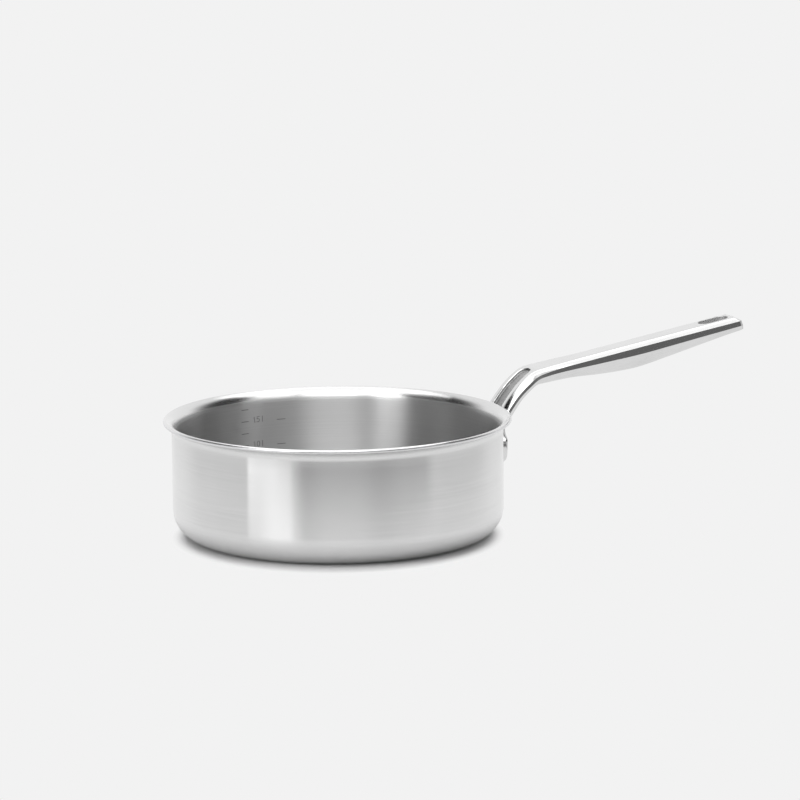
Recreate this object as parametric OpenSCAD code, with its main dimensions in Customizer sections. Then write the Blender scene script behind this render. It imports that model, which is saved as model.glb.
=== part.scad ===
// Deep frying pan of three bonded plies, with a flared pouring rim and one long cast handle.
// The origin is the centre of the flat base, on the surface that the pan stands on. +Z is up.
// The handle lies along +X. All lengths are in millimetres.

/* [Pan body] */
// Inner diameter of the straight wall
inner_d = 200; // [160:5:300]
// Height from the base to the top of the pouring rim
pan_h = 73.6; // [65:0.1:120]
// Outer radius of the bottom corner
corner_r = 17.5; // [12:0.5:25]
// Inner radius of the bottom corner
inner_corner_r = 14; // [8:0.5:18]

/* [Plies] */
// Thickness of the outer steel ply
outer_ply_t = 0.6; // [0.4:0.1:1]
// Thickness of the aluminium ply in the wall
core_wall_t = 1.4; // [1:0.1:2]
// Thickness of the aluminium ply in the base
core_base_t = 5; // [2:0.5:7]
// Thickness of the inner steel ply
lining_t = 0.6; // [0.4:0.1:1]

/* [Pouring rim] */
// Radius of the rim's flare, on its hollow side
flare_r = 5.8; // [4:0.1:8]
// Angle that the wall turns outwards in the flare
flare_angle = 74; // [60:1:80]

/* [Handle line] */
// Distance from the middle of the pan to the end of the handle
handle_reach = 275.3; // [240:0.1:380]
// Height of the top face at the end of the handle
handle_end_z = 117.8; // [112:0.1:160]
// Rise of the grip above level
grip_angle = 9.3; // [5:0.1:12]
// Rise of the neck above level where it passes the pouring rim
neck_angle = 59; // [50:0.5:65]
// Rise of the neck above level where it meets the upper bend
neck_top_angle = 38; // [30:0.5:45]
// Clearance from the pouring rim to the neck
rim_gap = 0.8; // [0.6:0.1:4]
// Radius of the bend between neck and grip, on the top face
bend_r = 20; // [10:0.5:26]
// Radius of the bend between foot and neck, on the side of the wall
root_r = 24; // [18:0.5:28]

/* [Handle section] */
// Width of the grip
grip_w = 21.6; // [18:0.1:28]
// Width that each sloping shoulder takes from the top face
shoulder_run = 3; // [2:0.1:4]
// Fall of each shoulder
shoulder_drop = 2.4; // [1.5:0.1:3]
// Height of the upright side facet at the middle of the grip
side_h = 4.7; // [3:0.1:6]
// Depth of the belly below the side facets at the middle of the grip
belly_h = 9.3; // [5:0.1:12]
// Angle of the belly's facets from upright
belly_angle = 30; // [20:1:35]
// Lean of the handle's end, from square to the top face
end_lean = 12; // [0:1:20]

/* [Handle foot] */
// Width of the foot plate
foot_w = 54; // [44:1:64]
// Height of the lower half of the foot plate, below its widest place
foot_drop = 11.2; // [10:0.1:18]
// Distance from the top of the pouring rim down to the widest place of the foot plate
foot_below_rim = 25.6; // [18:0.1:30]
// Thickness of the foot plate
foot_t = 3.9; // [3:0.1:5]

/* [Channel and slot] */
// Width of the neck's channel at the pouring rim
channel_w = 13.5; // [10:0.5:16]
// Width of the channel at its upper end
channel_end_w = 11.4; // [8:0.1:13]
// Depth of the channel
channel_d = 1.6; // [1:0.1:2.4]
// Length of the hanging slot
slot_l = 20; // [16:0.5:28]
// Width of the hanging slot
slot_w = 10.4; // [8:0.1:12]
// Distance from the end of the handle to the hanging slot
slot_from_end = 5.3; // [5:0.1:12]

/* [Hidden] */

$fn = 128;
overrun = 1;

wall_t = outer_ply_t + core_wall_t + lining_t;
base_t = outer_ply_t + core_base_t + lining_t;
inner_r = inner_d / 2;
outer_r = inner_r + wall_t;

// The wall's middle line ends at the middle of the rim's rounded edge
flare_mid_r = flare_r + wall_t / 2;
flare_x = outer_r + flare_r;
rim_mid_x = flare_x - flare_mid_r * cos(flare_angle);
rim_mid_z = pan_h - wall_t / 2;
flare_z = rim_mid_z - flare_mid_r * sin(flare_angle);
rim_r = rim_mid_x + wall_t / 2;

// The handle's line runs up its top face, in the XZ plane: up the wall, round the root bend,
// up to the rim, round the neck's wide curve, round the upper bend and out along the grip
neck_x = rim_r + rim_gap;
grip_lift = (handle_end_z - rim_mid_z) * cos(grip_angle) - (handle_reach - neck_x) * sin(grip_angle);
root_turn = 90 - neck_angle;
neck_turn = neck_angle - neck_top_angle;
bend_turn = neck_top_angle - grip_angle;
neck_r = (grip_lift - bend_r * (1 - cos(bend_turn))) / (cos(bend_turn) - cos(neck_turn + bend_turn));
root_reach = root_r * tan(root_turn / 2);
root_low_z = rim_mid_z - (neck_x - outer_r) * tan(neck_angle) - root_reach;
foot_z = pan_h - foot_below_rim;
foot_low_z = foot_z - foot_drop;

// Place after a turn downwards from a place and rise, round a bend: [x, z, rise of the line]
function turned(p, rise, r, turn) =
    [p.x + r * (sin(rise) - sin(rise - turn)), p.y + r * (cos(rise - turn) - cos(rise)), rise - turn];
function arc_length(r, turn) = r * turn * PI / 180;
function turn_along(d, r) = d / r * 180 / PI;

// Places where the stretches of the line start, and the distances along the line to their ends
rim_place = [neck_x, rim_mid_z];
bend_place = turned(rim_place, neck_angle, neck_r, neck_turn);
grip_place = turned(bend_place, neck_top_angle, bend_r, bend_turn);
wall_run = root_low_z - foot_low_z;
root_run = arc_length(root_r, root_turn);
root_end = wall_run + root_run;
rim_end = root_end + (neck_x - outer_r) / cos(neck_angle) - root_reach;
neck_end = rim_end + arc_length(neck_r, neck_turn);
bend_run = arc_length(bend_r, bend_turn);
bend_end = neck_end + bend_run;
line_end = bend_end + (handle_reach - grip_place.x) / cos(grip_angle);

// Place of a distance along the line
function straight(p, rise, d) = [p.x + d * cos(rise), p.y + d * sin(rise), rise];
function line_at(d) =
    d < wall_run ? straight([outer_r, foot_low_z], 90, d)
    : d < root_end ? turned([outer_r, root_low_z], 90, root_r, turn_along(d - wall_run, root_r))
    : d < rim_end ? straight(rim_place, neck_angle, d - rim_end)
    : d < neck_end ? turned(rim_place, neck_angle, neck_r, turn_along(d - rim_end, neck_r))
    : d < bend_end ? turned(bend_place, neck_top_angle, bend_r, turn_along(d - neck_end, bend_r))
    : straight(grip_place, grip_angle, d - bend_end);

// Smooth curve through a table of [share of the way, share of a size]
function knot(t, s) = max([for (i = [0 : len(t) - 2]) if (t[i].x <= s) i]);
function tilt(t, i) = let (a = max(i - 1, 0), b = min(i + 1, len(t) - 1))
    (t[b].y - t[a].y) / (t[b].x - t[a].x);
function blend(t, s) = let (i = knot(t, s), run = t[i + 1].x - t[i].x, p = (s - t[i].x) / run)
    t[i].y * (2 * p ^ 3 - 3 * p ^ 2 + 1) + t[i + 1].y * (3 * p ^ 2 - 2 * p ^ 3)
    + run * (tilt(t, i) * (p ^ 3 - 2 * p ^ 2 + p) + tilt(t, i + 1) * (p ^ 3 - p ^ 2));

// Shares along the line, which starts at the foot's lowest point, and shares of the named size:
// half the grip's width, the shoulder's fall and its width, the side facet and the belly
width_shares = [[0, 2.4], [0.052, 2.5], [0.078, 2.5], [0.086, 2.42], [0.1, 1.85], [0.118, 1.48],
    [0.165, 1.36], [0.2, 1.32], [0.25, 1.25], [0.3, 1.2], [0.38, 1.05], [0.46, 1], [0.65, 0.98],
    [0.85, 0.99], [1, 1.01]];
shoulder_shares = [[0, 0.15], [0.066, 0.15], [0.11, 0.3], [0.165, 1], [0.225, 1.25], [0.27, 1.5],
    [0.31, 1.45], [0.37, 1.12], [0.44, 1], [1, 1]];
run_shares = [[0, 0.15], [0.11, 0.4], [0.165, 1], [0.2, 0.95], [0.25, 0.6], [0.32, 0.5],
    [0.4, 0.55], [0.46, 0.9], [0.52, 1], [1, 1]];
side_shares = [[0, 0.42], [0.165, 0.42], [0.3, 0.44], [0.37, 0.54], [0.44, 0.68],
    [0.54, 0.86], [0.66, 1], [0.76, 0.93], [0.86, 0.83], [1, 0.72]];
belly_shares = [[0, 0.33], [0.165, 0.33], [0.25, 0.28], [0.29, 0.3], [0.33, 0.46], [0.37, 0.56],
    [0.44, 0.64], [0.52, 0.84], [0.6, 0.98], [0.66, 1], [0.76, 0.84], [0.86, 0.64], [0.95, 0.45], [1, 0.38]];

// The foot plate's lower half is half an ellipse. The handle's end has rounded corners.
end_corner_share = 0.2;
foot_end_share = 0.12;
end_corner_r = grip_w / 2 * end_corner_share;
function half_w(d) =
    d < foot_drop ? foot_w / 2 * max(foot_end_share, sqrt(1 - (1 - d / foot_drop) ^ 2))
    : d > line_end - end_corner_r
    ? grip_w / 2 * blend(width_shares, d / line_end) - end_corner_r
        + sqrt(max(0, end_corner_r ^ 2 - (d - line_end + end_corner_r) ^ 2))
    : grip_w / 2 * blend(width_shares, d / line_end)
        + (foot_w - grip_w * width_shares[1].y) / 2 * max(0, 1 - (d - foot_drop) / root_end);

// Share of the way from one place to another, and no further
function part_way(d, low, high) = max(0, min(1, (d - low) / (high - low)));

// The foot plate keeps its own thickness, and the neck takes over by the end of the root bend
foot_side_share = 0.85;
sink = outer_ply_t;
function neck_share(d) = part_way(d, foot_drop, root_end);
function side_at(d) = (sink + foot_t * foot_side_share) * (1 - neck_share(d))
    + side_h * blend(side_shares, d / line_end) * neck_share(d);
function belly_at(d) = foot_t * (1 - foot_side_share) * (1 - neck_share(d))
    + belly_h * blend(belly_shares, d / line_end) * neck_share(d);
function drop_at(d) = shoulder_drop * blend(shoulder_shares, d / line_end);
function run_at(d) = min(shoulder_run * blend(run_shares, d / line_end), half_w(d) / 2);

// At its end the top face falls like the shoulders do, and the end leans out below it
function fall_at(d) = drop_at(d) * part_way(d, line_end - shoulder_run, line_end);
function lean_at(d) = end_lean * part_way(d, line_end - 2 * end_corner_r, line_end);

// The channel starts above the foot plate and ends round at the upper bend. It never takes more
// than most of the flat, and beyond its ends its edges close up and lie flush with the top face.
channel_low_share = 0.55;
channel_top_share = 0.72;
channel_side_share = 0.12;
channel_closed_share = 0.3;
channel_most_share = 0.9;
channel_low = wall_run + root_run * channel_low_share;
channel_top = neck_end + bend_run * channel_top_share;
channel_end_r = channel_end_w / 2;
function channel_half(d) = let (
        plain = (channel_w + (channel_end_w - channel_w) * part_way(d, root_end, channel_top)) / 2,
        low = max(0, channel_low + channel_end_r - d),
        high = max(0, d - channel_top + channel_end_r))
    d <= channel_low || d >= channel_top ? channel_end_r * channel_closed_share
    : plain - channel_end_r + sqrt(channel_end_r ^ 2 - max(low, high) ^ 2);
function channel_deep(d) = d <= channel_low || d >= channel_top ? 0 : channel_d;

// Half of one section, from the middle of the top face round to the middle of the belly:
// [sideways, below the line]
bottom_shares = [0.8, 0.94, 1];
keel_shares = [1, 0.9, 0.72];
function half_section(d) = let (
        w = half_w(d), flat = w - run_at(d), g = min(channel_half(d), flat * channel_most_share),
        fall = fall_at(d), drop = drop_at(d), low_side = drop + side_at(d), belly = belly_at(d),
        tuck = min(belly * tan(belly_angle), w / 2))
    concat(
        [[0, fall + channel_deep(d)], [g * (1 - channel_side_share), fall + channel_deep(d)],
         [g, fall], [flat, fall], [w, drop], [w, low_side]],
        [for (i = [0 : 2]) [(w - tuck * bottom_shares[i]) * keel_shares[i],
            low_side + belly * bottom_shares[i]]],
        [[0, low_side + belly]]);
half_count = len(half_section(0));
function whole_section(d) = let (h = half_section(d))
    concat(h, [for (i = [half_count - 2 : -1 : 1]) [-h[i].x, h[i].y]]);

// The foot wraps round the wall, and the neck lets go of its curve by the upper bend
function wrap_share(d) = 1 - part_way(d, root_end, neck_end);
function place(d, p) = let (
        l = line_at(d), down = l.z + lean_at(d),
        x = l.x + p.y * sin(down) - sink * (1 - neck_share(d)), z = l.y - p.y * cos(down),
        bent = sqrt(max(0, x ^ 2 - p.x ^ 2)))
    [x + (bent - x) * wrap_share(d), p.x, z];

// Distances of the sections along the line: close at the foot's end, the channel's ends and the tip
foot_steps = 8;
neck_steps = 28;
round_steps = 6;
grip_steps = 22;
tip_steps = 5;
hair = 0.05;
close_by = 0.6;
function near(list, d) = len([for (e = list) if (abs(e - d) < close_by) 1]) > 0;
round_places = concat(
    [for (i = [0 : round_steps])
        channel_low + hair + channel_end_r * (1 - cos(90 * i / round_steps))],
    [for (i = [round_steps : -1 : 0])
        channel_top - hair - channel_end_r * (1 - cos(90 * i / round_steps))],
    [channel_low, channel_top]);
neck_places = [for (i = [1 : neck_steps]) foot_drop + (bend_end - foot_drop) * i / neck_steps];
tip_places = [for (i = [1 : tip_steps]) line_end - end_corner_r * (1 - sin(90 * i / tip_steps))];
line_places = concat(
    [for (i = [0 : foot_steps]) foot_drop * (1 - cos(90 * i / foot_steps))],
    [for (d = neck_places) if (!near(round_places, d)) d],
    round_places,
    [for (i = [1 : grip_steps]) bend_end + (line_end - end_corner_r - bend_end) * i / grip_steps],
    [for (d = [line_end - shoulder_run, line_end - 2 * end_corner_r]) if (!near(tip_places, d)) d],
    tip_places);
function sorted(v) = len(v) < 2 ? v : let (
        m = v[floor(len(v) / 2)],
        low = [for (e = v) if (e < m) e],
        same = [for (e = v) if (e == m) e],
        high = [for (e = v) if (e > m) e])
    concat(sorted(low), same, sorted(high));
sections = sorted(line_places);

// A closed skin over rings of points that all have the same count. The end faces fan out from
// the point at the given place in the ring.
module loft(rings, hub) {
    n = len(rings[0]);
    last = len(rings) - 1;
    points = [for (r = rings, p = r) p];
    sides = [for (i = [0 : last - 1], k = [0 : n - 1], half = [0, 1])
        let (a = i * n + k, b = i * n + (k + 1) % n)
        half == 0 ? [a, b, b + n] : [a, b + n, a + n]];
    start = [for (k = [1 : n - 2]) [hub, (hub + k + 1) % n, (hub + k) % n]];
    end = [for (k = [1 : n - 2]) [hub, (hub + k) % n, (hub + k + 1) % n] + last * n * [1, 1, 1]];
    polyhedron(points = points, faces = concat(start, sides, end), convexity = 8);
}

// All that lies inside a wall of the given radius that rises from the given floor
module bowl_outline(r, floor_z, corner) {
    translate([0, floor_z]) square([r - corner, flare_z - floor_z]);
    translate([0, floor_z + corner]) square([r, flare_z - floor_z - corner]);
    translate([r - corner, floor_z + corner]) circle(r = corner);
}

// The sheet in the flare, between two depths below its outer surface
module flare_outline(near_t, far_t) {
    reach = 2 * (flare_r + wall_t);
    translate([flare_x, flare_z]) intersection() {
        difference() {
            circle(r = flare_r + far_t);
            circle(r = flare_r + near_t);
        }
        union() {
            polygon([for (a = [-1, 180, 180 - flare_angle / 2, 180 - flare_angle])
                a < 0 ? [0, 0] : reach * [cos(a), sin(a)]]);
            translate([rim_mid_x - flare_x, rim_mid_z - flare_z]) circle(r = wall_t / 2);
        }
    }
}

module ply(near_t, far_t, low_z, high_z, low_corner, high_corner) {
    rotate_extrude() {
        difference() {
            bowl_outline(outer_r - near_t, low_z, low_corner);
            bowl_outline(outer_r - far_t, high_z, high_corner);
        }
        flare_outline(near_t, far_t);
    }
}

module outer_skin() {
    color("silver")
        ply(0, outer_ply_t, 0, outer_ply_t, corner_r, corner_r - outer_ply_t);
}

module aluminium_core() {
    color("lightgray")
        ply(outer_ply_t, wall_t - lining_t, outer_ply_t, base_t - lining_t,
            corner_r - outer_ply_t, inner_corner_r + lining_t);
}

module inner_lining() {
    color("gainsboro")
        ply(wall_t - lining_t, wall_t, base_t - lining_t, base_t, inner_corner_r + lining_t, inner_corner_r);
}

// The slot's straight cut, square to the top face
module slot_cut() {
    middle = line_at(line_end - slot_from_end - slot_l / 2);
    deep = shoulder_drop + side_h + belly_h;
    translate([middle.x, 0, middle.y]) rotate([0, -grip_angle, 0])
        translate([0, 0, -deep]) linear_extrude(deep + overrun) {
            for (side = [-1, 1]) translate([side * (slot_l - slot_w) / 2, 0]) circle(d = slot_w);
            square([slot_l - slot_w, slot_w], center = true);
        }
}

module handle() {
    color("gainsboro") difference() {
        loft([for (d = sections) [for (p = whole_section(d)) place(d, p)]], half_count - 1);
        cylinder(r = outer_r, h = pan_h);
        slot_cut();
    }
}

outer_skin();
aluminium_core();
inner_lining();
handle();
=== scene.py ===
"""Looks of the deep frying pan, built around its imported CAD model. Metres, +Z up, handle along +X."""
from math import atan, atan2, cos, degrees, hypot, pi, radians, sin, sqrt, tan

import bmesh
import bpy
from mathutils import Matrix, Vector


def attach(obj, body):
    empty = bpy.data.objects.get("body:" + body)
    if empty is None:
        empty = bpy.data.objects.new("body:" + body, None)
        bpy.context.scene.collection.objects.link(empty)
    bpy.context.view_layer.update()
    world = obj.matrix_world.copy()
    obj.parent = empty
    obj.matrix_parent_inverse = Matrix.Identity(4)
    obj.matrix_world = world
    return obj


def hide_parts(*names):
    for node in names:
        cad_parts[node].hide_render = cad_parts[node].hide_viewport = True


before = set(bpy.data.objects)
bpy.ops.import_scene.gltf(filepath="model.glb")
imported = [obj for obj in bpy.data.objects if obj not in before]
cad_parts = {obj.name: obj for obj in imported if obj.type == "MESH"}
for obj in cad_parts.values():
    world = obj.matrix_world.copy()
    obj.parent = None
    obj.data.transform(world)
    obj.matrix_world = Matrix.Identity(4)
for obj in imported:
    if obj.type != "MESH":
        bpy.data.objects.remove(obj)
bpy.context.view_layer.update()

MM = 0.001

# Sizes of the part, in millimetres, as in its CAD source
INNER_R, PAN_H = 100, 73.6
OUTER_PLY, CORE_WALL, CORE_BASE, LINING = 0.6, 1.4, 5, 0.6
CORNER_R, INNER_CORNER_R = 17.5, 14
FLARE_R, FLARE_ANGLE = 5.8, 74
WALL = OUTER_PLY + CORE_WALL + LINING
BASE = OUTER_PLY + CORE_BASE + LINING
OUTER_R = INNER_R + WALL
FLARE_MID_R = FLARE_R + WALL / 2
FLARE_X = OUTER_R + FLARE_R
RIM_X = FLARE_X - FLARE_MID_R * cos(radians(FLARE_ANGLE))
RIM_Z = PAN_H - WALL / 2
FLARE_Z = RIM_Z - FLARE_MID_R * sin(radians(FLARE_ANGLE))

HANDLE_REACH, HANDLE_END_Z, GRIP_ANGLE = 275.3, 117.8, 9.3
NECK_ANGLE, NECK_TOP_ANGLE = 59, 38
RIM_GAP, BEND_R, ROOT_R = 0.8, 20, 24
GRIP_W, SHOULDER_RUN, SHOULDER_DROP = 21.6, 3, 2.4
SIDE_H, BELLY_H, BELLY_ANGLE, END_LEAN = 4.7, 9.3, 30, 12
FOOT_W, FOOT_DROP, FOOT_BELOW_RIM, FOOT_T = 54, 11.2, 25.6, 3.9
CHANNEL_W, CHANNEL_END_W, CHANNEL_D = 13.5, 11.4, 1.6
SLOT_L, SLOT_W, SLOT_FROM_END = 20, 10.4, 5.3

HAIR = 0.04  # the pieces stay this far inside the box of the faceted solids
LIP_START, LIP_FULL, LIP_ROUGH = FLARE_Z + 2, FLARE_Z + 4, 0.2  # the lining's polished lip
MATT_ROUGHER = 0.34  # by how much the channel and the bore are rougher than the polished handle
SHARP, CAST_SHARP = 35, 60  # edges above these angles stay sharp, on the pan and on the cast handle


# ---------------------------------------------------------------- node helpers
def add(tree, kind, inputs=None, **settings):
    node = tree.nodes.new(kind)
    for key, value in settings.items():
        setattr(node, key, value)
    for key, value in (inputs or {}).items():
        if isinstance(value, bpy.types.NodeSocket):
            tree.links.new(value, node.inputs[key])
        else:
            node.inputs[key].default_value = value
    return node


def maths(tree, operation, *values):
    return add(tree, "ShaderNodeMath", dict(enumerate(values)), operation=operation).outputs[0]


def plus(tree, a, b):
    return maths(tree, "ADD", a, b)


def minus(tree, a, b):
    return maths(tree, "SUBTRACT", a, b)


def times(tree, a, b):
    return maths(tree, "MULTIPLY", a, b)


def blend(tree, a, b, share):
    """a where the share is 0, and b where it is 1."""
    return plus(tree, times(tree, a, minus(tree, 1, share)), times(tree, share, b))


def span(tree, a, b):
    """Length of the vector [a, b]."""
    return maths(tree, "SQRT", plus(tree, times(tree, a, a), times(tree, b, b)))


def split(tree, vector):
    return add(tree, "ShaderNodeSeparateXYZ", {0: vector}).outputs


def steps(tree, value, low, high, a=0.0, b=1.0):
    """Smooth change from a to b while the value goes from low to high."""
    return add(tree, "ShaderNodeMapRange", {0: value, 1: low, 2: high, 3: a, 4: b},
               interpolation_type="SMOOTHSTEP").outputs[0]


def noise(tree, vector, scale, detail, rough):
    return add(tree, "ShaderNodeTexNoise", {"Vector": vector, "Scale": scale, "Detail": detail,
                                            "Roughness": rough}).outputs["Fac"]


def bump(tree, height, strength, distance, **under):
    """The normal of a bump. Its distance is in millimetres."""
    return add(tree, "ShaderNodeBump", {"Height": height, "Strength": strength, "Distance": distance * MM,
                                        **under}).outputs[0]


def mix_colour(tree, factor, a, b):
    node = add(tree, "ShaderNodeMix", {0: factor}, data_type="RGBA")
    for socket, value in ((node.inputs[6], a), (node.inputs[7], b)):
        if isinstance(value, bpy.types.NodeSocket):
            tree.links.new(value, socket)
        else:
            socket.default_value = (*value, 1)
    return node.outputs[2]


def grey(level):
    return (level, level, level)


def object_place(tree):
    return add(tree, "ShaderNodeTexCoord").outputs["Object"]


# ---------------------------------------------------------------- materials
def new_material(name):
    material = bpy.data.materials.new(name)
    material.use_nodes = True
    tree = material.node_tree
    return material, tree, tree.nodes["Principled BSDF"]


def set_metal(tree, shader, colour, rough, normal, metallic=1):
    for value, name in ((colour, "Base Color"), (rough, "Roughness"), (normal, "Normal")):
        tree.links.new(value, shader.inputs[name])
    shader.inputs["Metallic"].default_value = metallic


def round_place(tree, place, along, across):
    """Coordinates that run slowly round the pan's axis and fast up the wall and out over the base."""
    x, y, z = split(tree, place)
    slow = {0: times(tree, x, along), 1: times(tree, y, along)}
    up = times(tree, plus(tree, z, span(tree, x, y)), across)
    return add(tree, "ShaderNodeCombineXYZ", {**slow, 2: up}).outputs[0]


def brushed_steel(name, level, rough, grain, lip_level=None):
    """Stainless steel brushed round the pan's axis: fine lines, longer scratches and faint smudges.
    Where a level of the lip is given, the flare's upper part is polished."""
    material, tree, shader = new_material(name)
    place = object_place(tree)
    fine = noise(tree, round_place(tree, place, along=22, across=5200), scale=1, detail=3, rough=0.6)
    long = noise(tree, round_place(tree, place, along=5, across=1500), scale=1, detail=2, rough=0.5)
    smudge = noise(tree, place, scale=26, detail=3, rough=0.55)
    lines = plus(tree, times(tree, fine, 0.65), times(tree, long, 0.35))
    tone = plus(tree, times(tree, lines, 0.8), times(tree, smudge, 0.2))
    steel = mix_colour(tree, steps(tree, tone, 0.32, 0.68), grey(level * (1 - grain)), grey(level))
    dull = steps(tree, tone, 0.3, 0.7, rough + 0.02, rough - 0.02)
    if lip_level:
        lip = steps(tree, split(tree, place)[2], LIP_START * MM, LIP_FULL * MM)
        steel = mix_colour(tree, lip, steel, grey(lip_level))
        dull = plus(tree, dull, times(tree, lip, LIP_ROUGH - rough))
    set_metal(tree, shader, steel, dull, bump(tree, lines, strength=0.05, distance=0.02))
    round_axis = add(tree, "ShaderNodeTangent", direction_type="RADIAL", axis="Z")
    tree.links.new(round_axis.outputs[0], shader.inputs["Tangent"])
    shader.inputs["Anisotropic"].default_value = 1
    shader.inputs["Anisotropic Rotation"].default_value = 0.25
    return material


def slot_share(tree, place):
    """1 on the wall of the hanging slot's bore, 0 outside it."""
    x0, z0, rise = SLOT_PLACE
    lean, inner, outer = radians(rise), SLOT_W / 2 + 0.2, SLOT_W / 2 + 0.45
    x, y, z = split(tree, place)
    along = plus(tree, times(tree, minus(tree, x, x0 * MM), cos(lean)),
                 times(tree, minus(tree, z, z0 * MM), sin(lean)))
    past = maths(tree, "MAXIMUM", minus(tree, maths(tree, "ABSOLUTE", along), SLOT_HALF * MM), 0)
    return steps(tree, span(tree, past, y), outer * MM, inner * MM)


def cast_steel(name, level, rough):
    """Polished casting: a faint waviness of the surface, fine polishing lines along the handle and smudges.
    The channel and the slot's bore aren't polished, and keep the matt grain of the casting. The channel's
    sloping walls are painted near black, as painted shade in the recess."""
    material, tree, shader = new_material(name)
    place = object_place(tree)
    stretched = add(tree, "ShaderNodeMapping", {"Vector": place, "Scale": (90, 2600, 2600)}).outputs[0]
    lines = noise(tree, stretched, scale=1, detail=3, rough=0.6)
    waves = noise(tree, place, scale=130, detail=2, rough=0.5)
    smudge = noise(tree, place, scale=34, detail=4, rough=0.6)
    cast = noise(tree, place, scale=1900, detail=3, rough=0.6)
    tone = plus(tree, times(tree, lines, 0.5), times(tree, smudge, 0.5))
    deep = add(tree, "ShaderNodeAttribute", attribute_name="recess").outputs["Fac"]
    bore = slot_share(tree, place)
    recess = maths(tree, "MAXIMUM", steps(tree, deep, 0.1, 0.35), bore)
    polished = mix_colour(tree, steps(tree, tone, 0.35, 0.62), grey(level * 0.93), grey(level))
    floor = mix_colour(tree, steps(tree, cast, 0.3, 0.7), grey(0.37), grey(0.49))
    # Painted shade: short of the channel's floor, its walls and lips get a near-black grey for the shade in the
    # recess, and the floor keeps the casting's matt grey. The matt colour mixed from it below carries this
    # painted shade too.
    channel = mix_colour(tree, steps(tree, deep, 0.7, 1), grey(0.14), floor)
    matt = mix_colour(tree, bore, channel, grey(0.6))
    smooth_rough = steps(tree, tone, 0.3, 0.7, rough + 0.05, rough - 0.04)
    grain = bump(tree, times(tree, cast, deep), strength=0.3, distance=0.04)
    brushed = bump(tree, lines, strength=0.06, distance=0.02, Normal=grain)
    wavy = bump(tree, waves, strength=0.12, distance=0.08, Normal=brushed)
    dull = plus(tree, smooth_rough, times(tree, recess, MATT_ROUGHER))
    set_metal(tree, shader, mix_colour(tree, recess, polished, matt), dull, wavy)
    return material


def bare_aluminium(name):
    material, tree, shader = new_material(name)
    place = object_place(tree)
    lines = noise(tree, round_place(tree, place, along=40, across=9000), scale=1, detail=3, rough=0.6)
    cloud = noise(tree, place, scale=60, detail=3, rough=0.5)
    tone = plus(tree, times(tree, lines, 0.6), times(tree, cloud, 0.4))
    set_metal(tree, shader, mix_colour(tree, tone, (0.74, 0.74, 0.75), (0.88, 0.88, 0.89)),
              steps(tree, tone, 0.3, 0.7, 0.32, 0.24), bump(tree, lines, strength=0.15, distance=0.03))
    return material


def etched(name):
    """The matt, darker steel of an etched mark."""
    material, tree, shader = new_material(name)
    speck = noise(tree, object_place(tree), scale=3500, detail=3, rough=0.7)
    set_metal(tree, shader, mix_colour(tree, speck, grey(0.1), grey(0.2)),
              steps(tree, speck, 0.3, 0.7, 0.6, 0.75), bump(tree, speck, strength=0.2, distance=0.02),
              metallic=0.3)
    return material


# ---------------------------------------------------------------- meshes
def new_object(name, points, faces):
    """An object with a mesh of points in millimetres, linked to the scene."""
    mesh = bpy.data.meshes.new(name)
    mesh.from_pydata([tuple(c * MM for c in p) for p in points], [], faces)
    obj = bpy.data.objects.new(name, mesh)
    bpy.context.scene.collection.objects.link(obj)
    return obj


def shade(mesh, sharp):
    mesh.polygons.foreach_set("use_smooth", [True] * len(mesh.polygons))
    mesh.set_sharp_from_angle(angle=radians(sharp))


def face_outwards(mesh):
    shape = bmesh.new()
    shape.from_mesh(mesh)
    bmesh.ops.recalc_face_normals(shape, faces=shape.faces)
    shape.to_mesh(mesh)
    shape.free()


def piece(name, points, faces, material, slot, sharp=SHARP):
    obj = new_object(name, points, faces)
    obj.data.validate()
    face_outwards(obj.data)
    shade(obj.data, sharp)
    obj.data.materials.append(material)
    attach(obj, "root")
    return obj


def part_way(d, low, high):
    return max(0, min(1, (d - low) / (high - low)))


def soft_way(d, low, high):
    t = part_way(d, low, high)
    return t * t * (3 - 2 * t)


# ---------------------------------------------------------------- pan
SPIN_COUNT, CORNER_STEP, FLARE_STEPS, RIM_STEPS = 288, 5, 20, 10
FLOOR_RADII = (0, 3, 8, 15, 25, 36, 48, 60, 72)
WALL_SIXTEENTHS = (0.4, 2, 4, 6, 8, 10, 12, 13, 14, 14.5, 15, 15.5)
EASE = 0.22  # how far the wall stands out where the flare begins, which makes the bend gentler
EASE_START, EASE_FULL, EASE_END = FLARE_Z - 5, FLARE_Z + 4, FLARE_Z + 7


def spun(profile):
    """Points and faces of a profile, [radius, height] from axis to axis, turned round the axis."""
    points, faces = [], []
    inner = [(r * (1 - HAIR / INNER_R), z) for r, z in profile[1:-1]]
    n = len(inner)
    for k in range(SPIN_COUNT):
        a = 2 * pi * k / SPIN_COUNT
        points += [(r * cos(a), r * sin(a), z) for r, z in inner]
    first_hub, last_hub = len(points), len(points) + 1
    points += [(0, 0, profile[0][1]), (0, 0, profile[-1][1])]
    for k in range(SPIN_COUNT):
        a, b = k * n, (k + 1) % SPIN_COUNT * n
        faces += [(a + i, b + i, b + i + 1, a + i + 1) for i in range(n - 1)]
        faces += [(first_hub, b, a), (last_hub, a + n - 1, b + n - 1)]
    return points, faces


def eased(z):
    """The flare begins gently: how far the wall stands out just below it and in its lower half."""
    return EASE * soft_way(z, EASE_START, EASE_FULL) * soft_way(z, EASE_END, EASE_FULL)


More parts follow.
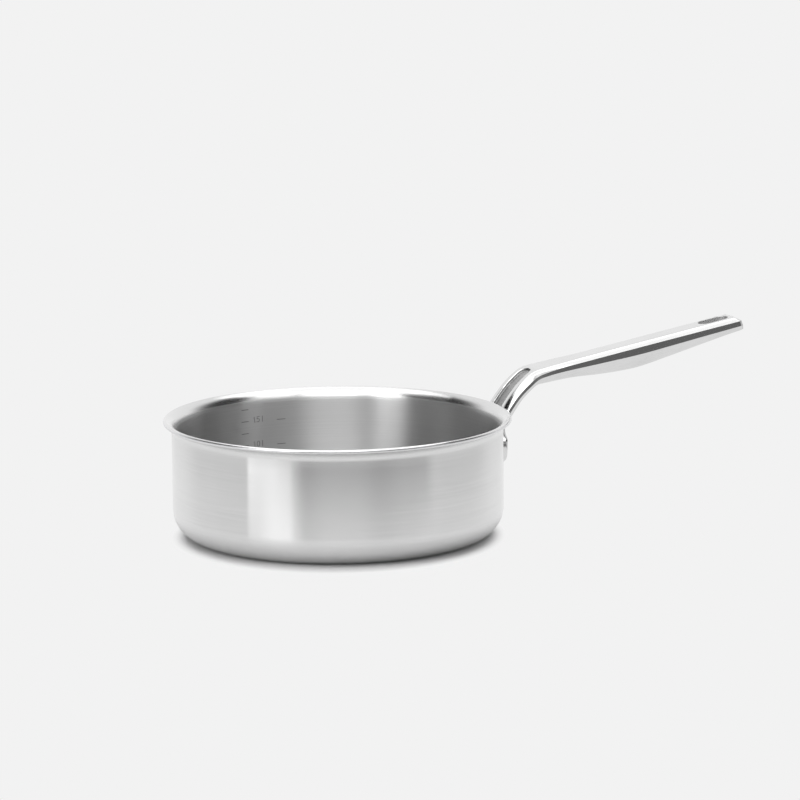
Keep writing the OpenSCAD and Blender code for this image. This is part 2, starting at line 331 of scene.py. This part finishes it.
def surface_line(depth, floor_z, corner):
    """[radius, height] from the axis up the surface at a depth below the outer one, to the rim's edge."""
    r, wall_z, ring = OUTER_R - depth, floor_z + corner, FLARE_R + depth

    def at(turn):
        return FLARE_X - ring * cos(radians(turn)), FLARE_Z + ring * sin(radians(turn))

    # The surface of a ply ends where it meets the rim's round edge
    end, past = FLARE_ANGLE, FLARE_ANGLE + 40
    for _ in range(0 if depth in (0, WALL) else 40):
        middle = (end + past) / 2
        x, z = at(middle)
        if hypot(x - RIM_X, z - RIM_Z) < WALL / 2:
            end = middle
        else:
            past = middle
    line = [(x, floor_z) for x in FLOOR_RADII] + [(r - corner - 1, floor_z)]
    line += [(r - corner + corner * sin(radians(a)), wall_z - corner * cos(radians(a)))
             for a in range(0, 91, CORNER_STEP)]
    line += [(r, wall_z + (FLARE_Z - wall_z) * s / 16) for s in WALL_SIXTEENTHS]
    line += [at(end * k / FLARE_STEPS) for k in range(FLARE_STEPS + 1)]
    return [(x + eased(z), z) for x, z in line]


def rim_edge(start, end):
    """Points on the rim's rounded edge from one point to another, without the two ends."""
    a = atan2(start[1] - RIM_Z, start[0] - RIM_X)
    b = atan2(end[1] - RIM_Z, end[0] - RIM_X)
    if b < a:
        b += 2 * pi
    turns = [a + (b - a) * k / RIM_STEPS for k in range(1, RIM_STEPS)]
    return [(RIM_X + WALL / 2 * cos(t), RIM_Z + WALL / 2 * sin(t)) for t in turns]


def ply(depths, floors, corners):
    """The turned profile between an outer and an inner surface."""
    outside, inside = [surface_line(*row) for row in zip(depths, floors, corners)]
    return outside + rim_edge(outside[-1], inside[-1]) + inside[::-1]


# ---------------------------------------------------------------- handle
# The top face's line goes up the wall, out under the rim, along the neck and the bend, and along the grip
NECK_X = RIM_X + WALL / 2 + RIM_GAP
GRIP_LIFT = ((HANDLE_END_Z - RIM_Z) * cos(radians(GRIP_ANGLE))
             - (HANDLE_REACH - NECK_X) * sin(radians(GRIP_ANGLE)))
ROOT_TURN, NECK_TURN = 90 - NECK_ANGLE, NECK_ANGLE - NECK_TOP_ANGLE
BEND_TURN = NECK_TOP_ANGLE - GRIP_ANGLE
NECK_R = ((GRIP_LIFT - BEND_R * (1 - cos(radians(BEND_TURN))))
          / (cos(radians(BEND_TURN)) - cos(radians(NECK_TURN + BEND_TURN))))
ROOT_REACH = ROOT_R * tan(radians(ROOT_TURN / 2))
ROOT_LOW_Z = RIM_Z - (NECK_X - OUTER_R) * tan(radians(NECK_ANGLE)) - ROOT_REACH
FOOT_LOW_Z = PAN_H - FOOT_BELOW_RIM - FOOT_DROP


def turned(p, rise, r, turn):
    return (p[0] + r * (sin(radians(rise)) - sin(radians(rise - turn))),
            p[1] + r * (cos(radians(rise - turn)) - cos(radians(rise))), rise - turn)


def straight(p, rise, d):
    return p[0] + d * cos(radians(rise)), p[1] + d * sin(radians(rise)), rise


RIM_PLACE = (NECK_X, RIM_Z)
BEND_PLACE = turned(RIM_PLACE, NECK_ANGLE, NECK_R, NECK_TURN)
GRIP_PLACE = turned(BEND_PLACE, NECK_TOP_ANGLE, BEND_R, BEND_TURN)
WALL_RUN = ROOT_LOW_Z - FOOT_LOW_Z
ROOT_RUN = ROOT_R * radians(ROOT_TURN)
ROOT_END = WALL_RUN + ROOT_RUN
RIM_END = ROOT_END + (NECK_X - OUTER_R) / cos(radians(NECK_ANGLE)) - ROOT_REACH
NECK_END = RIM_END + NECK_R * radians(NECK_TURN)
BEND_RUN = BEND_R * radians(BEND_TURN)
BEND_END = NECK_END + BEND_RUN
LINE_END = BEND_END + (HANDLE_REACH - GRIP_PLACE[0]) / cos(radians(GRIP_ANGLE))


def line_at(d):
    """Place and rise of the top face's line at a distance along it."""
    if d < WALL_RUN:
        return straight((OUTER_R, FOOT_LOW_Z), 90, d)
    if d < ROOT_END:
        return turned((OUTER_R, ROOT_LOW_Z), 90, ROOT_R, degrees((d - WALL_RUN) / ROOT_R))
    if d < RIM_END:
        return straight(RIM_PLACE, NECK_ANGLE, d - RIM_END)
    if d < NECK_END:
        return turned(RIM_PLACE, NECK_ANGLE, NECK_R, degrees((d - RIM_END) / NECK_R))
    if d < BEND_END:
        return turned(BEND_PLACE, NECK_TOP_ANGLE, BEND_R, degrees((d - NECK_END) / BEND_R))
    return straight(GRIP_PLACE, GRIP_ANGLE, d - BEND_END)


# Each table: share of the line's length, and the share of the named size that holds there
WIDTHS = [(0, 2.4), (0.052, 2.5), (0.078, 2.5), (0.086, 2.42), (0.1, 1.85), (0.118, 1.48),
          (0.165, 1.36), (0.2, 1.32), (0.25, 1.25), (0.3, 1.2), (0.38, 1.05), (0.46, 1), (0.65, 0.98),
          (0.85, 0.99), (1, 1.01)]
DROPS = [(0, 0.15), (0.066, 0.15), (0.11, 0.3), (0.165, 1), (0.225, 1.25), (0.27, 1.5),
         (0.31, 1.45), (0.37, 1.12), (0.44, 1), (1, 1)]
RUNS = [(0, 0.15), (0.11, 0.4), (0.165, 1), (0.2, 0.95), (0.25, 0.6), (0.32, 0.5),
        (0.4, 0.55), (0.46, 0.9), (0.52, 1), (1, 1)]
SIDES = [(0, 0.42), (0.165, 0.42), (0.3, 0.44), (0.37, 0.54), (0.44, 0.68),
         (0.54, 0.86), (0.66, 1), (0.76, 0.93), (0.86, 0.83), (1, 0.72)]
BELLIES = [(0, 0.33), (0.165, 0.33), (0.25, 0.28), (0.29, 0.3), (0.33, 0.46), (0.37, 0.56),
           (0.44, 0.64), (0.52, 0.84), (0.6, 0.98), (0.66, 1), (0.76, 0.84), (0.86, 0.64),
           (0.95, 0.45), (1, 0.38)]

END_CORNER_R = GRIP_W / 2 * 0.2
END_EDGE_R = 0.8
FOOT_SIDE_SHARE = 0.85
FOOT_TIP_SHARE = 0.12
SINK = OUTER_PLY
CHANNEL_LOW = WALL_RUN + ROOT_RUN * 0.55
CHANNEL_TOP = NECK_END + BEND_RUN * 0.72
CHANNEL_WALL = 0.8
TOP_STEPS, ARC_STEPS = 18, 5
SHOULDER_R, UPPER_EDGE_R, LOWER_EDGE_R, BELLY_R = 9, 0.45, 1.3, 2.2
# What the shoulder's rounding takes of the flat top on each side, where that changes, and what it leaves
NECK_ROOM, GRIP_ROOM, ROOM_CHANGE = 3.2, 5.2, (CHANNEL_TOP + 2, CHANNEL_TOP + 16)
CHANNEL_EDGE, LEAST_TOP = 0.6, 0.3
# A corner takes at most these shares of its sides, and the points beside it stay within these of it
WIDE_SHARE, NARROW_SHARE, BESIDE_REACH, BESIDE_SIDE = 0.72, 0.27, 0.3, 0.06
BELLY_CORNERS = ((0.8, 1), (0.94, 0.9), (1, 0.72))  # shares of the belly's depth and of its half width
RING_GAP, CLOSE_GAP = 0.9, 0.35
FOOT_RINGS, TIP_RINGS, CHANNEL_RINGS = 18, 14, 24
SLOT_EDGE_R, SLOT_EDGE_STEP, SLOT_TURNS = 0.5, 15, 64
SLOT_OVER, SLOT_DEEP = 2, 22  # the cutter's reach above the top face and below it
SLOT_PLACE = line_at(LINE_END - SLOT_FROM_END - SLOT_L / 2)
SLOT_HALF = (SLOT_L - SLOT_W) / 2


def smooth(table, s):
    """The value of a table at a share of the line, on smooth curves through its rows."""
    i = max(k for k in range(len(table) - 1) if table[k][0] <= s or k == 0)

    def tilt(k):
        a, b = max(k - 1, 0), min(k + 1, len(table) - 1)
        return (table[b][1] - table[a][1]) / (table[b][0] - table[a][0])

    run = table[i + 1][0] - table[i][0]
    p = (s - table[i][0]) / run
    return (table[i][1] * (2 * p ** 3 - 3 * p ** 2 + 1) + table[i + 1][1] * (3 * p ** 2 - 2 * p ** 3)
            + run * (tilt(i) * (p ** 3 - 2 * p ** 2 + p) + tilt(i + 1) * (p ** 3 - p ** 2)))


def half_width(d):
    plain = GRIP_W / 2 * smooth(WIDTHS, d / LINE_END)
    if d < FOOT_DROP:
        return FOOT_W / 2 * max(FOOT_TIP_SHARE, sqrt(1 - (1 - d / FOOT_DROP) ** 2))
    if d > LINE_END - END_CORNER_R:
        inward = d - LINE_END + END_CORNER_R
        return plain - END_CORNER_R + sqrt(max(0, END_CORNER_R ** 2 - inward ** 2))
    return plain + (FOOT_W - GRIP_W * WIDTHS[1][1]) / 2 * max(0, 1 - (d - FOOT_DROP) / ROOT_END)


def neck_share(d):
    """0 on the foot, and 1 from the neck on."""
    return part_way(d, FOOT_DROP, ROOT_END)


def channel_depth(d, y):
    """Depth of the channel below the top face. It has a flat floor, steep sides and round ends."""
    half = (CHANNEL_W + (CHANNEL_END_W - CHANNEL_W) * part_way(d, ROOT_END, CHANNEL_TOP)) / 2
    past = max(0, CHANNEL_LOW + CHANNEL_W / 2 - d, d - CHANNEL_TOP + CHANNEL_END_W / 2)
    return CHANNEL_D * soft_way(half - hypot(past, y), 0, CHANNEL_WALL)


def section(d):
    """One section as [sideways, below the line] with the radius of each corner, all the way round."""
    share, new = d / LINE_END, neck_share(d)
    w = half_width(d)
    flat = w - min(SHOULDER_RUN * smooth(RUNS, share), w / 2)
    room = NECK_ROOM + (GRIP_ROOM - NECK_ROOM) * part_way(d, *ROOM_CHANGE)
    inner = max(min(CHANNEL_W / 2 + CHANNEL_EDGE, flat - room), flat * LEAST_TOP)
    drop = SHOULDER_DROP * smooth(DROPS, share)
    fall = drop * part_way(d, LINE_END - SHOULDER_RUN, LINE_END)
    side = (SINK + FOOT_T * FOOT_SIDE_SHARE) * (1 - new) + SIDE_H * smooth(SIDES, share) * new
    belly = FOOT_T * (1 - FOOT_SIDE_SHARE) * (1 - new) + BELLY_H * smooth(BELLIES, share) * new
    low = drop + side
    tuck = min(belly * tan(radians(BELLY_ANGLE)), w / 2)
    across = [inner * k / TOP_STEPS for k in range(TOP_STEPS + 1)]
    half = [(y, fall + channel_depth(d, y), 0) for y in across]
    half += [(flat, fall, SHOULDER_R), (w, drop, UPPER_EDGE_R), (w, low, LOWER_EDGE_R)]
    half += [((w - tuck * deep) * wide, low + belly * deep, BELLY_R) for deep, wide in BELLY_CORNERS]
    half.append((0, low + belly, 0))
    return half + [(-x, y, r) for x, y, r in half[-2:0:-1]]


def rounded(corners):
    """The section with every corner rounded, always with the same count of points. One more point on each
    side, close to the arc, keeps the flat faces flat in the shading."""
    out, n = [], len(corners)
    for i, (x, y, r) in enumerate(corners):
        if r == 0:
            out.append((x, y))
            continue
        here = Vector((x, y))
        a, b = Vector(corners[i - 1][:2]) - here, Vector(corners[(i + 1) % n][:2]) - here
        bend = a.angle(b, pi) if min(a.length, b.length) > 1e-6 else pi
        most = WIDE_SHARE if r == SHOULDER_R else NARROW_SHARE
        reach = min(r / max(tan(bend / 2), 0.05), a.length * most, b.length * most)
        start, end = here + a.normalized() * reach, here + b.normalized() * reach
        out.append(tuple(start + a.normalized() * min(reach * BESIDE_REACH, a.length * BESIDE_SIDE)))
        for k in range(ARC_STEPS + 1):
            t = k / ARC_STEPS
            out.append(tuple(start * (1 - t) ** 2 + here * 2 * t * (1 - t) + end * t ** 2))
        out.append(tuple(end + b.normalized() * min(reach * BESIDE_REACH, b.length * BESIDE_SIDE)))
    return out


def on_line(d, p):
    """The point of a section in space: [sideways, below the line] at a distance along the line. Foot and
    root are bent round the wall, and no point goes into it."""
    x0, z0, rise = line_at(d)
    down = radians(rise + END_LEAN * part_way(d, LINE_END - 2 * END_CORNER_R, LINE_END))
    x = x0 + p[1] * sin(down) - SINK * (1 - neck_share(d))
    z = z0 - p[1] * cos(down) - HAIR
    bent = sqrt(max(0, x * x - p[0] * p[0]))
    x += (bent - x) * (1 - part_way(d, ROOT_END, NECK_END))
    away = hypot(x, p[0])
    wall = OUTER_R - HAIR
    if away < wall and z < PAN_H:
        return x * wall / away, p[0] * wall / away, z
    return x, p[0], z


def handle_rings():
    """Distances of the rings along the line: closer in the foot, at the channel's ends and at the tip."""
    places = {0.0, FOOT_DROP, LINE_END - SHOULDER_RUN, LINE_END - 2 * END_CORNER_R}
    places |= {FOOT_DROP * (1 - cos(pi / 2 * i / FOOT_RINGS)) for i in range(FOOT_RINGS + 1)}
    places |= {LINE_END - END_CORNER_R * (1 - sin(pi / 2 * i / TIP_RINGS)) for i in range(TIP_RINGS + 1)}
    for start, way in ((CHANNEL_LOW, 1), (CHANNEL_TOP, -1)):
        places |= {start + way * CLOSE_GAP * (i - 2) for i in range(CHANNEL_RINGS)}
    kept = sorted(places)
    d = FOOT_DROP
    while d < LINE_END - END_CORNER_R:
        if min(abs(d - k) for k in kept) > CLOSE_GAP:
            places.add(d)
        d += RING_GAP
    return sorted(places)


def shrunk(ring, inset):
    """A ring moved inwards on every side."""
    middle = sum(y for _, y in ring) / len(ring)
    wide, tall = max(x for x, _ in ring), max(abs(y - middle) for _, y in ring)
    return [(x * (1 - inset / wide), middle + (y - middle) * (1 - inset / tall)) for x, y in ring]


def handle_mesh():
    """Rings along the line, and how deep each point lies in the channel, as a share. The last rings
    shrink towards the end face, so that its edge is rounded."""
    points, depths = [], []
    rings = handle_rings()
    for d in rings:
        ring = rounded(section(d))
        depths += [channel_depth(d, x) / CHANNEL_D if y < SIDE_H / 2 else 0 for x, y in ring]
        into = max(0, END_EDGE_R - (LINE_END - d))
        if into > 0:
            ring = shrunk(ring, END_EDGE_R - sqrt(max(0, END_EDGE_R ** 2 - into ** 2)))
        points += [on_line(d, p) for p in ring]
    n, count = len(ring), len(rings)
    faces = [(i * n + k, i * n + (k + 1) % n, (i + 1) * n + (k + 1) % n, (i + 1) * n + k)
             for i in range(count - 1) for k in range(n)]
    for first in (0, (count - 1) * n):
        ring = points[first:first + n]
        points.append(tuple(sum(p[j] for p in ring) / n for j in range(3)))
        hub = len(points) - 1
        fan = [(first + k, hub, first + (k + 1) % n) for k in range(n)]
        faces += [face[::-1] for face in fan] if first else fan
    return points, faces, depths + [0, 0]


def slot_cutter():
    """A bore of the slot's outline that opens out at the top face, so that the slot's edge is rounded."""
    levels = [(SLOT_OVER, SLOT_EDGE_R)]
    levels += [(-SLOT_EDGE_R * (1 - cos(radians(a))), SLOT_EDGE_R * (1 - sin(radians(a))))
               for a in range(0, 91, SLOT_EDGE_STEP)]
    levels += [(-SLOT_DEEP, 0)]
    x0, z0, rise = SLOT_PLACE
    lean, points = radians(rise), []
    for height, wider in levels:
        for k in range(SLOT_TURNS):
            a = 2 * pi * (k + 0.5) / SLOT_TURNS
            r = SLOT_W / 2 + wider
            u = r * cos(a) + (SLOT_HALF if cos(a) > 0 else -SLOT_HALF)
            points.append((x0 + u * cos(lean) - height * sin(lean), r * sin(a),
                           z0 + u * sin(lean) + height * cos(lean)))
    faces = [(i + k, i + (k + 1) % SLOT_TURNS, i + (k + 1) % SLOT_TURNS + SLOT_TURNS, i + k + SLOT_TURNS)
             for i in range(0, (len(levels) - 1) * SLOT_TURNS, SLOT_TURNS) for k in range(SLOT_TURNS)]
    faces.append(tuple(range(SLOT_TURNS))[::-1])
    faces.append(tuple(range((len(levels) - 1) * SLOT_TURNS, len(levels) * SLOT_TURNS)))
    cutter = new_object("slot_cutter", points, faces)
    face_outwards(cutter.data)
    shade(cutter.data, SHARP)
    return cutter


def cut(obj, cutter):
    """Cuts one object's shape out of another, and deletes the cutter."""
    modifier = obj.modifiers.new("cut", "BOOLEAN")
    modifier.operation, modifier.solver, modifier.object = "DIFFERENCE", "EXACT", cutter
    bpy.context.view_layer.update()
    evaluated = obj.evaluated_get(bpy.context.evaluated_depsgraph_get())
    mesh = bpy.data.meshes.new_from_object(evaluated)
    obj.modifiers.clear()
    whole, used, obj.data = obj.data, cutter.data, mesh
    bpy.data.objects.remove(cutter)
    bpy.data.meshes.remove(whole)
    bpy.data.meshes.remove(used)
    mesh.name = obj.name
    shade(mesh, CAST_SHARP)


# ---------------------------------------------------------------- etched litre scale
PHOTO_TURN = 22.5  # the handle's azimuth from the photo's right, in degrees
STROKE, STROKE_STEP = 0.38, 1.2
MARK_OUT, MARK_IN = 0.05, -0.1
LETTER_H, LETTER_GAP = 3.4, 0.11
LITRE_TICKS, SIDE_TICKS = (54.9, 39.0, 23.1), (63.3, 55.6, 47.8, 40, 32.2, 24.4)
LITRE_TICK_SPAN, SIDE_TICK_SPAN, WORDS_START = (112.7, 109.6), (127.5, 124.6), 122.4
LITRE_WORDS = (("1.5 l", 54.6), ("1.0 l", 38.7), ("0.5 l", 22.8))
# Width of each letter and its lines, as shares of the letters' height
LETTERS = {
    "1": (0.34, [[(0.02, 0.78), (0.24, 1), (0.24, 0)]]),
    "0": (0.69, [[(0.34 + 0.28 * cos(radians(a)), 0.5 + 0.5 * sin(radians(a))) for a in range(0, 361, 20)]]),
    "5": (0.69, [[(0.6, 1), (0.14, 1), (0.1, 0.56)]
                 + [(0.32 + 0.29 * cos(radians(a)), 0.3 + 0.31 * sin(radians(a)))
                    for a in range(125, -146, -20)]]),
    ".": (0.12, [[(0.05, 0.0), (0.05, 0.05)]]),
    "l": (0.1, [[(0.05, 1.02), (0.05, 0)]]),
    " ": (0.28, []),
}


def on_wall(along, height, out):
    """A point on the inner wall: arc length to the right, height, and how far it stands out of the wall."""
    a, r = -along / INNER_R, INNER_R - out
    return r * cos(a), r * sin(a), height


def stroke(points, faces, line):
    """A thin slab along a line of [arc length to the right, height] on the wall, seen from inside."""
    fine = [line[0]]
    for a, b in zip(line, line[1:]):
        count = max(1, int(hypot(b[0] - a[0], b[1] - a[1]) / STROKE_STEP))
        fine += [(a[0] + (b[0] - a[0]) * k / count, a[1] + (b[1] - a[1]) * k / count)
                 for k in range(1, count + 1)]
    first = len(points)
    for i, p in enumerate(fine):
        before, after = fine[max(i - 1, 0)], fine[min(i + 1, len(fine) - 1)]
        along = Vector((after[0] - before[0], after[1] - before[1])).normalized() * STROKE / 2
        end = along * (-1 if i == 0 else 1 if i == len(fine) - 1 else 0)
        for out in (MARK_OUT, MARK_IN):
            for s in (1, -1):
                points.append(on_wall(p[0] - along.y * s + end.x, p[1] + along.x * s + end.y, out))
    last = first + 4 * (len(fine) - 1)
    for a in range(first, last, 4):
        b = a + 4
        faces += [(a, b, b + 1, a + 1), (a + 2, a + 3, b + 3, b + 2), (a, a + 2, b + 2, b),
                  (a + 1, b + 1, b + 3, a + 3)]
    faces += [(first, first + 1, first + 3, first + 2), (last, last + 2, last + 3, last + 1)]


def litre_scale():
    """Ticks and numbers of the litre scale, at azimuths in the photo's frame."""
    points, faces = [], []

    def along(azimuth):
        return -radians(azimuth - PHOTO_TURN) * INNER_R

    for heights, ends in ((LITRE_TICKS, LITRE_TICK_SPAN), (SIDE_TICKS, SIDE_TICK_SPAN)):
        for height in heights:
            stroke(points, faces, [(along(end), height) for end in ends])
    for words, low in LITRE_WORDS:
        x = along(WORDS_START)
        for letter in words:
            width, lines = LETTERS[letter]
            for line in lines:
                stroke(points, faces, [(x + u * LETTER_H, low + v * LETTER_H) for u, v in line])
            x += (width + LETTER_GAP) * LETTER_H
    return points, faces


# ---------------------------------------------------------------- the pieces
outer_steel = brushed_steel("outer_steel", level=0.8, rough=0.21, grain=0.06)
inner_steel = brushed_steel("inner_steel", level=0.58, rough=0.36, grain=0.08, lip_level=0.75)
handle_steel = cast_steel("handle_steel", level=0.76, rough=0.14)
core_metal = bare_aluminium("core_aluminium")
mark_metal = etched("etched_mark")

skin = piece("outer_ply", *spun(ply((0, OUTER_PLY), (0, OUTER_PLY), (CORNER_R, CORNER_R - OUTER_PLY))),
             outer_steel, "outer_steel")
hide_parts("outer_skin")
core = piece("core_ply", *spun(ply((OUTER_PLY, WALL - LINING), (OUTER_PLY, BASE - LINING),
                                   (CORNER_R - OUTER_PLY, INNER_CORNER_R + LINING))),
             core_metal, "core_aluminium")
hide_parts("aluminium_core")
lining = piece("inner_ply", *spun(ply((WALL - LINING, WALL), (BASE - LINING, BASE),
                                      (INNER_CORNER_R + LINING, INNER_CORNER_R))),
               inner_steel, "inner_steel")
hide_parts("inner_lining")
handle_points, handle_faces, channel_depths = handle_mesh()
handle = piece("cast_handle", handle_points, handle_faces, handle_steel, "handle_steel", CAST_SHARP)
handle.data.attributes.new("recess", "FLOAT", "POINT").data.foreach_set("value", channel_depths)
cut(handle, slot_cutter())
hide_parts("handle")
piece("litre_scale", *litre_scale(), mark_metal, "inner_steel")

# ---------------------------------------------------------------- camera
# Fitted to the photo: lengths in its pixels, distance in millimetres, angles in degrees
FOCAL_PX, DISTANCE, RISE, ROLL = 4550.7, 2821, 11.396, 0.606
AIM_X, AIM_Y, MIDDLE, LOOK_Z = 337.295, 469.47, 400, 40
SENSOR = 36


def camera():
    e = radians(RISE)
    place = Vector((0, -DISTANCE * cos(e), LOOK_Z + DISTANCE * sin(e)))
    ahead, right, up = Vector((0, cos(e), -sin(e))), Vector((1, 0, 0)), Vector((0, sin(e), cos(e)))
    pan = Matrix.Rotation(atan((AIM_X - MIDDLE) / FOCAL_PX), 3, up)
    ahead, right = pan @ ahead, pan @ right
    tilt = Matrix.Rotation(atan((AIM_Y - MIDDLE) / FOCAL_PX), 3, right)
    ahead, up = tilt @ ahead, tilt @ up
    roll = Matrix.Rotation(radians(ROLL), 3, ahead)
    right, up = roll @ right, roll @ up
    turn = Matrix.Rotation(radians(-PHOTO_TURN), 3, "Z")
    data = bpy.data.cameras.new("camera")
    data.sensor_width = SENSOR
    data.lens = FOCAL_PX / (2 * MIDDLE) * SENSOR
    obj = bpy.data.objects.new("camera", data)
    bpy.context.scene.collection.objects.link(obj)
    columns = [turn @ v for v in (right, up, -ahead)]
    pose = Matrix([[columns[j][i] for j in range(3)] + [0] for i in range(3)] + [[0, 0, 0, 1]])
    pose.translation = (turn @ place) * MM
    obj.matrix_world = pose
    bpy.context.scene.camera = obj


camera()

# ---------------------------------------------------------------- studio
PALE = 0.888  # the background's plain tone
SOFT = 0.27  # what diffuse surfaces get from the world
CAMERA_SIDE = radians(-90 - PHOTO_TURN)
# Softboxes that the metal mirrors. Each fades in and out between angles round the pan, from the camera's
# side to the camera's left, and fades in between angles above the horizon. The last number is its level.
SOFTBOXES = (
    ((-44, -12), (36, 6), (7, 20), 2.2),
    ((22, 32), (60, 44), (-3, 6), 1.5),
    ((-80, -70), (-54, -62), (6, 16), 0.7),
    ((-62, -52), (-32, -42), (20, 32), 1.1),
)
# The rest of that world. Each change is between two angles, and from one level to another where these are given
GLOW_LEFT, GLOW_RIGHT, GLOW_TOP = (20, 75, 0.02, 0.7), (-22, -48, 0, 0.6), (16, 2)
GLOW_RIGHT_LOW, GLOW_RIGHT_FAR = (-5, 2, 0.2, 1), (-58, -72)
CEILING_START, CEILING_LEVEL = (48, 60), (70, 58, 0, 0.8)
BEHIND_START, BEHIND_TOP, BEHIND_LOW, BEHIND_LEVEL = (108, 138), (60, 44), (-9, 0, 0.5, 1), 0.96
GROUND_START = (-26, -40)
TABLE_R, TABLE_RINGS, TABLE_TURNS, TABLE_Z = 330, 12, 96, -0.05  # just below the base
# Where the table's shading gives way to the plain tone, in metres: as the camera sees it, and in reflections
SEEN_FADE, MIRRORED_FADE = (0.099, 0.111), (0.097, 0.14)
# The side lamp's ends over the ground, in the photo's frame, and its height, in metres
SIDE_LAMP_ENDS, SIDE_LAMP_TALL = ((-0.353, -0.23, 0), (-1.336, -2.207, 0)), 2.2


def studio_world():
    """What the metal mirrors: the softboxes, a glow low on both sides, a bright ceiling, pale behind the pan
    and dark between them. The camera sees one pale tone, and diffuse surfaces a soft grey."""
    world = bpy.data.worlds.new("studio")
    world.use_nodes = True
    bpy.context.scene.world = world
    tree = world.node_tree
    tree.nodes.clear()
    x, y, z = split(tree, add(tree, "ShaderNodeTexCoord").outputs["Generated"])
    front = (cos(CAMERA_SIDE), sin(CAMERA_SIDE))
    left = (sin(CAMERA_SIDE), -cos(CAMERA_SIDE))

    def dot(v):
        return plus(tree, times(tree, x, v[0]), times(tree, y, v[1]))

    # Angle from the camera's side, positive to the camera's left, in degrees
    around = maths(tree, "DEGREES", maths(tree, "ARCTAN2", dot(left), dot(front)))
    rise = maths(tree, "DEGREES", maths(tree, "ARCSINE", z))
    wide = maths(tree, "ABSOLUTE", around)
    kept = maths(tree, "MAXIMUM", steps(tree, rise, *GLOW_RIGHT_LOW), steps(tree, around, *GLOW_RIGHT_FAR))
    glow = plus(tree, steps(tree, around, *GLOW_LEFT), times(tree, steps(tree, around, *GLOW_RIGHT), kept))
    level = times(tree, glow, steps(tree, rise, *GLOW_TOP))
    for start, end, over, bright in SOFTBOXES:
        box = times(tree, steps(tree, around, *start), steps(tree, around, *end, 0, bright))
        level = plus(tree, level, times(tree, box, steps(tree, rise, *over)))
    level = blend(tree, level, steps(tree, rise, *CEILING_LEVEL), steps(tree, rise, *CEILING_START))
    behind = times(tree, steps(tree, wide, *BEHIND_START), steps(tree, rise, *BEHIND_TOP))
    level = blend(tree, level, BEHIND_LEVEL, times(tree, behind, steps(tree, rise, *BEHIND_LOW)))
    # Past the edge of the table its tone goes on, for rays that go steeply down
    level = blend(tree, level, PALE, steps(tree, rise, *GROUND_START))
    rays = add(tree, "ShaderNodeLightPath").outputs
    seen = times(tree, rays["Is Camera Ray"], PALE)
    for ray, value in (("Is Glossy Ray", level), ("Is Transmission Ray", PALE), ("Is Diffuse Ray", SOFT)):
        seen = plus(tree, seen, times(tree, rays[ray], value))
    background = add(tree, "ShaderNodeBackground", {"Color": (1, 1, 1, 1), "Strength": seen})
    out = add(tree, "ShaderNodeOutputWorld")
    tree.links.new(background.outputs[0], out.inputs[0])


def table_top():
    """A round pale table. Towards its edge the camera sees the plain background's tone."""
    points, faces, turns = [(0, 0, TABLE_Z)], [], TABLE_TURNS
    for i in range(1, TABLE_RINGS + 1):
        r = TABLE_R * i / TABLE_RINGS
        points += [(r * cos(2 * pi * k / turns), r * sin(2 * pi * k / turns), TABLE_Z) for k in range(turns)]
    faces += [(0, 1 + k, 1 + (k + 1) % turns) for k in range(turns)]
    for a in range(1, 1 + (TABLE_RINGS - 1) * turns, turns):
        faces += [(a + k, a + turns + k, a + turns + (k + 1) % turns, a + (k + 1) % turns)
                  for k in range(turns)]
    obj = new_object("table", points, faces)
    material, tree, shader = new_material("table")
    place = object_place(tree)
    grain = noise(tree, place, scale=900, detail=2, rough=0.5)
    tree.links.new(mix_colour(tree, grain, grey(0.87), grey(0.9)), shader.inputs["Base Color"])
    shader.inputs["Roughness"].default_value = 0.9
    shader.inputs["Specular IOR Level"].default_value = 0
    pale = add(tree, "ShaderNodeEmission", {"Color": (*grey(PALE), 1), "Strength": 1.0})
    # The shadow's patch is a little wider than the base towards the front, and narrower sideways
    faced = add(tree, "ShaderNodeMapping", {"Vector": place, "Rotation": (0, 0, radians(PHOTO_TURN))})
    moved = add(tree, "ShaderNodeMapping", {"Vector": faced.outputs[0], "Location": (0, 0.004, 0),
                                            "Scale": (1.07, 1, 1)})
    away = span(tree, *split(tree, moved.outputs[0])[:2])
    rays = add(tree, "ShaderNodeLightPath").outputs
    share = plus(tree, times(tree, steps(tree, away, *SEEN_FADE), rays["Is Camera Ray"]),
                 times(tree, steps(tree, away, *MIRRORED_FADE), rays["Is Glossy Ray"]))
    both = add(tree, "ShaderNodeMixShader", {0: share, 1: shader.outputs[0], 2: pale.outputs[0]})
    tree.links.new(both.outputs[0], tree.nodes["Material Output"].inputs[0])
    obj.data.materials.append(material)


def lamp(name, place, facing, wide, tall, level):
    """A flat soft lamp. Its level is the tone that a mirror would show in it, where 1 is white."""
    data = bpy.data.lights.new(name, "AREA")
    data.shape, data.size, data.size_y = "RECTANGLE", wide, tall
    data.energy = level * wide * tall * pi
    obj = bpy.data.objects.new(name, data)
    bpy.context.scene.collection.objects.link(obj)
    obj.rotation_euler = Vector(facing).to_track_quat("-Z", "Y").to_euler()
    obj.location = place
    obj.visible_camera = False


def side_lamp():
    """A tall panel on the left, from beside the pan towards the camera."""
    turn = Matrix.Rotation(radians(-PHOTO_TURN), 3, "Z")
    near, far = [turn @ Vector(p) for p in SIDE_LAMP_ENDS]
    along, tall = far - near, SIDE_LAMP_TALL
    facing = along.cross(Vector((0, 0, 1))).normalized()
    if facing.dot(near) > 0:
        facing = -facing
    lamp("side_lamp", (near + far) / 2 + Vector((0, 0, tall / 2)), facing, along.length, tall, level=1.08)


studio_world()
table_top()
lamp("top_lamp", place=(0, 0, 1.15), facing=(0, 0, -1), wide=1.7, tall=1.7, level=1.25)
side_lamp()
bpy.context.scene.view_settings.view_transform = "Standard"
